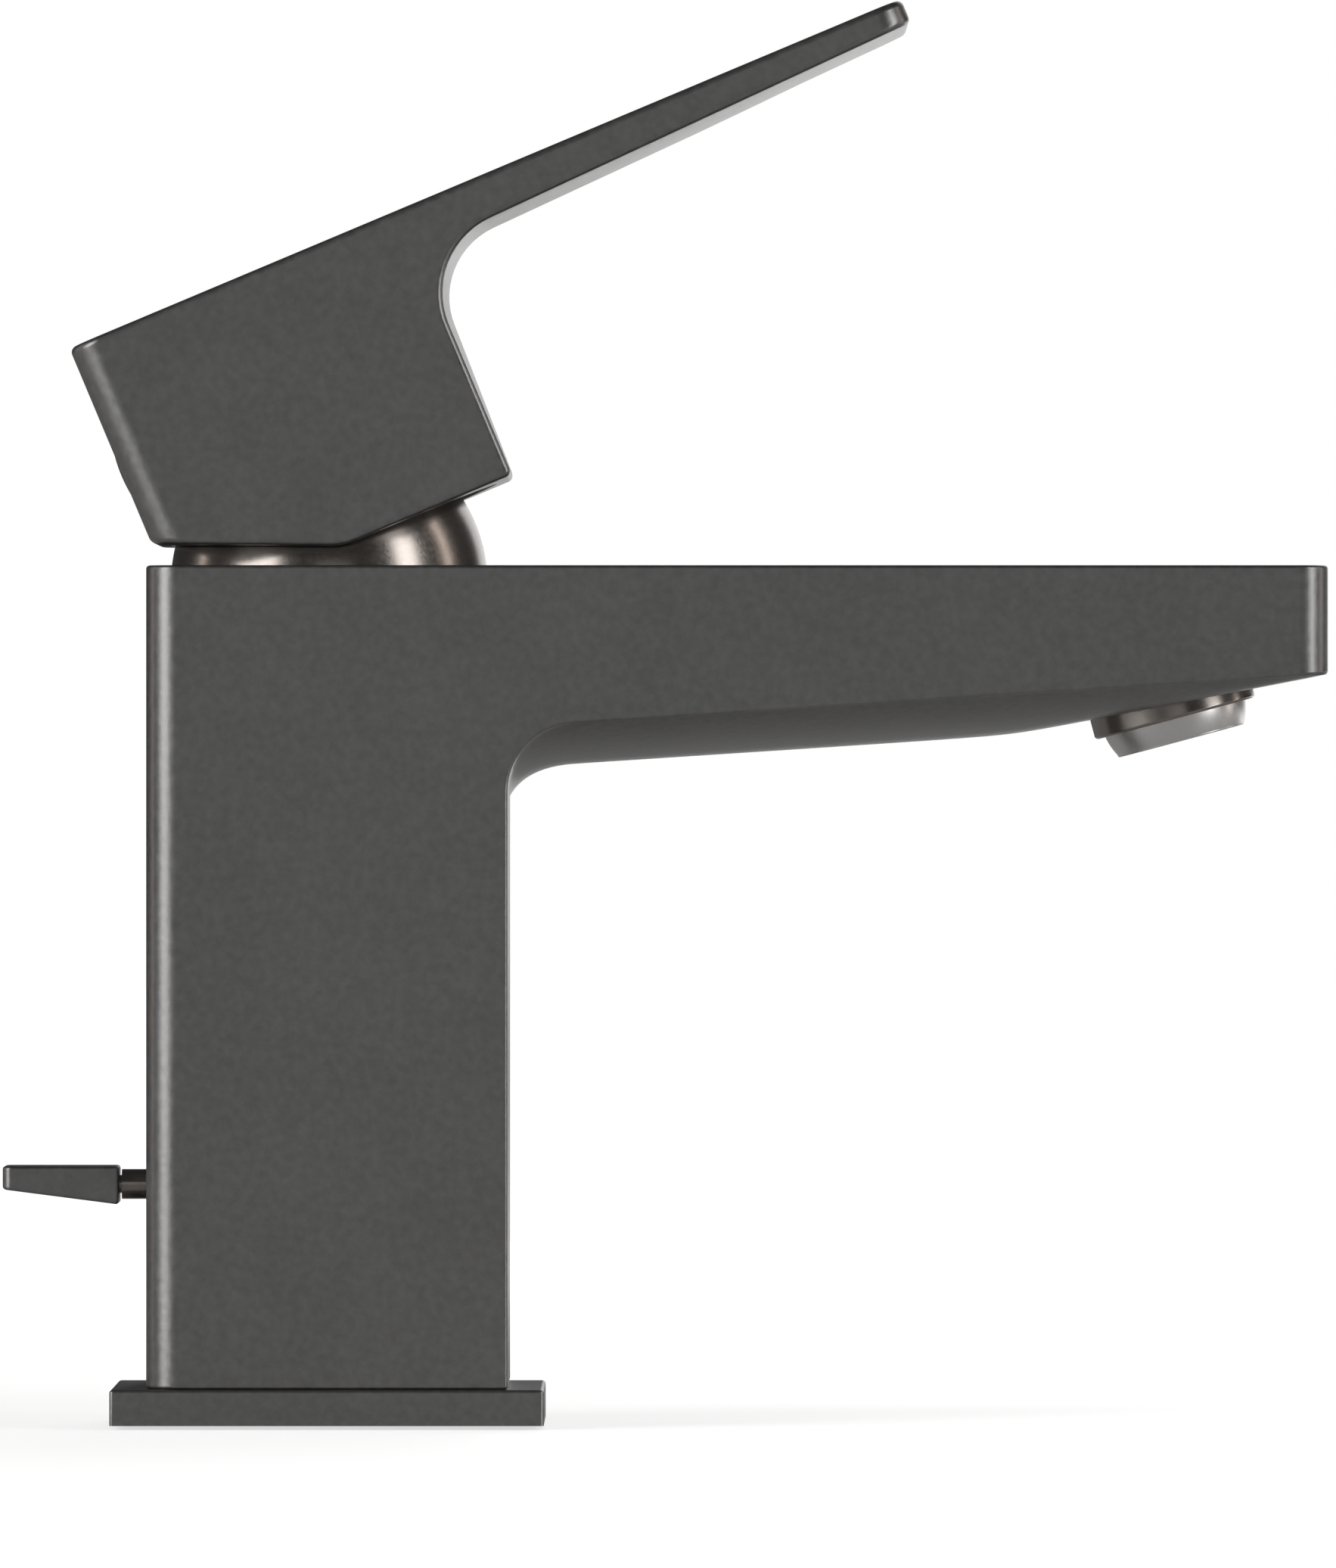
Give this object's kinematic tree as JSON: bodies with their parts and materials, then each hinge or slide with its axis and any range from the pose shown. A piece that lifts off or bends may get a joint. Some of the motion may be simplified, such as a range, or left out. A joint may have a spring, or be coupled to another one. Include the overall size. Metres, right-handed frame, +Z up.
{
  "type": "bathroom mixer faucet",
  "caption": "Square-column basin mixer with a long flat spout, tilting aerator, single flat lever on a ceramic cartridge and a pop-up waste knob.",
  "frame": {"origin": "middle of the foot's underside, on the deck", "axes": "+Z up, +X along the spout, +Y across it"},
  "size_m": [0.1675, 0.0466, 0.1795],
  "materials": {
    "graphite": "matte graphite with a fine grain",
    "dark_chrome": "polished black nickel",
    "satin_nickel": "satin nickel",
    "steel": "plain stainless steel",
    "brass": "machined brass",
    "rubber": "matte black rubber",
    "ceramic": "ground white ceramic",
    "white_plastic": "moulded white plastic",
    "grey_plastic": "moulded grey plastic",
    "red_plastic": "moulded red plastic"
  },
  "bodies": {
    "faucet_body": {"body_casting": "graphite", "inlet_manifold": "brass", "base_plate": "graphite", "base_gasket": "rubber", "plate_seal": "rubber", "rod_guide": "white_plastic", "cartridge_base": "grey_plastic", "inlet_seal_hot": "rubber", "inlet_seal_cold": "rubber", "fixed_disc": "ceramic", "cartridge_housing": "white_plastic", "chamber_o_ring": "rubber", "cartridge_nut": "brass", "temperature_stop": "red_plastic", "dome_cap": "dark_chrome", "dome_o_ring": "rubber", "aerator_collar": "dark_chrome", "aerator_washer": "rubber"},
    "swivel_carrier": {"cartridge_carrier": "white_plastic", "pivot_pin": "steel"},
    "lever": {"lever_handle": "graphite", "spindle": "brass", "grub_screw": "steel", "index_plug": "dark_chrome"},
    "disc": {"moving_disc": "ceramic", "disc_driver": "white_plastic"},
    "seat": {"seat_ring": "white_plastic"},
    "nozzle": {"swivel_nozzle": "satin_nickel", "flow_insert": "white_plastic", "outlet_grid": "grey_plastic"},
    "lift_rod": {"lift_rod": "dark_chrome", "lift_knob": "graphite"}
  },
  "joints": [
    {"name": "lever_swivel", "type": "hinge", "parent": "faucet_body", "child": "swivel_carrier", "pos_m": [0, 0, 0.1173], "axis": [0, 0, 1], "range_deg": [-50, 50]},
    {"name": "lever_lift", "type": "hinge", "parent": "swivel_carrier", "child": "lever", "pos_m": [0, 0, 0.1173], "axis": [0, 1, 0], "range_deg": [0, 22.8]},
    {"name": "disc_slide", "type": "slide", "parent": "swivel_carrier", "child": "disc", "axis": [1, 0, 0], "range_m": [-0.00718, 0]},
    {"name": "nozzle_spin", "type": "hinge", "parent": "faucet_body", "child": "seat", "pos_m": [0.10697, 0, 0.0907], "axis": [-0.2588, 0, 0.9659], "range_deg": [-180, 180]},
    {"name": "nozzle_tilt", "type": "hinge", "parent": "seat", "child": "nozzle", "pos_m": [0.10697, 0, 0.0907], "axis": [0, 1, 0], "range_deg": [-8, 8]},
    {"name": "rod_lift", "type": "slide", "parent": "faucet_body", "child": "lift_rod", "axis": [0, 0, 1], "range_m": [0, 0.02]}
  ],
  "couplings": [
    {"joint": "disc_slide", "follows": "lever_lift", "m_per_rad": -0.018016}
  ]
}
